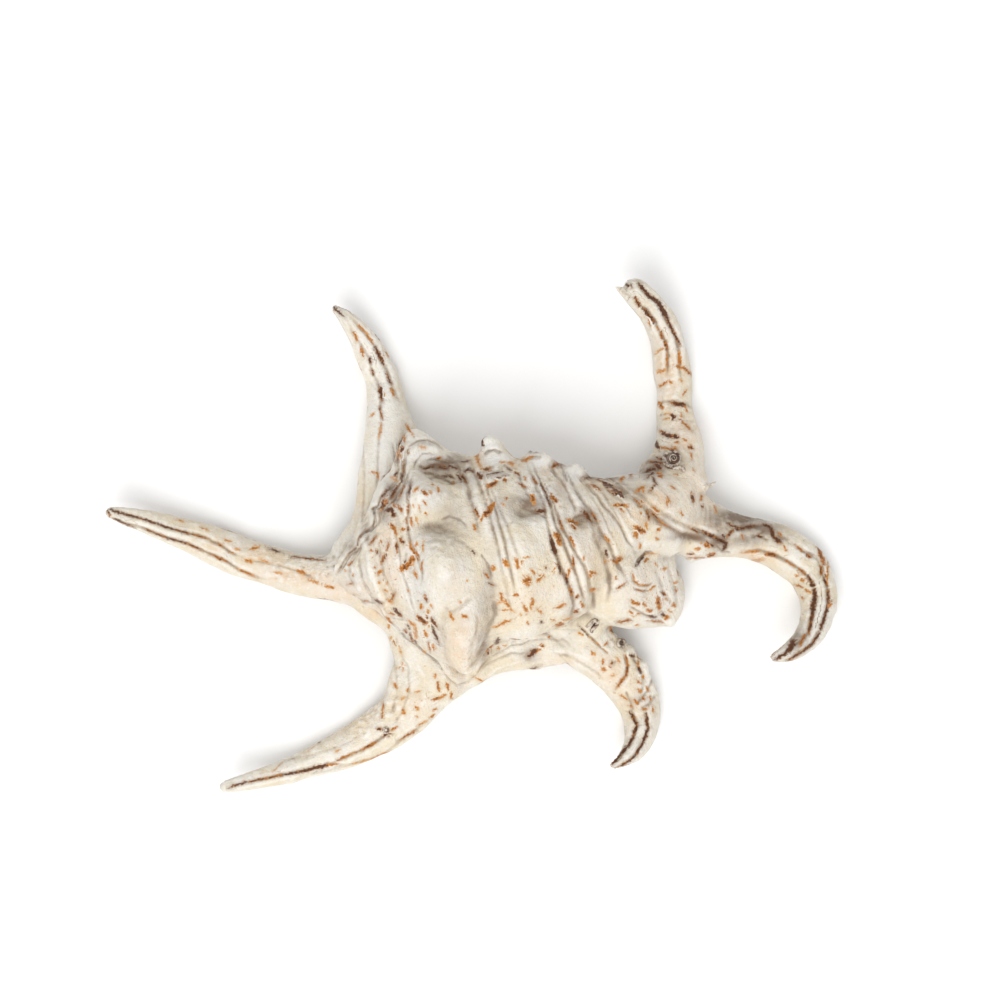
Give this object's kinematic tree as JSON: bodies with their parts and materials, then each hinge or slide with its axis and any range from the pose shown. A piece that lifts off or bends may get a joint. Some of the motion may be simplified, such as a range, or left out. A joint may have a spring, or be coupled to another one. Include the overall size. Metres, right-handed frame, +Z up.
{
  "type": "spider conch shell",
  "caption": "Chiragra spider conch seashell: knobbed, corded body whorl and short spire, flared lip drawn out into long curved hollow fingers, narrow mouth on the underside",
  "frame": {"origin": "middle of the bounding box in plan, on the surface that the shell rests on", "axes": "+Z up, from the mouth side to the back of the body whorl; +X from the spire towards the canal end; +Y towards the side away from the flared lip"},
  "size_m": [0.1828, 0.1278, 0.0484],
  "materials": {
    "shell": "chalky cream shell with orange-brown spots and stripes, worn to a low sheen"
  },
  "bodies": {
    "root": {"shell": "shell"}
  },
  "joints": []
}
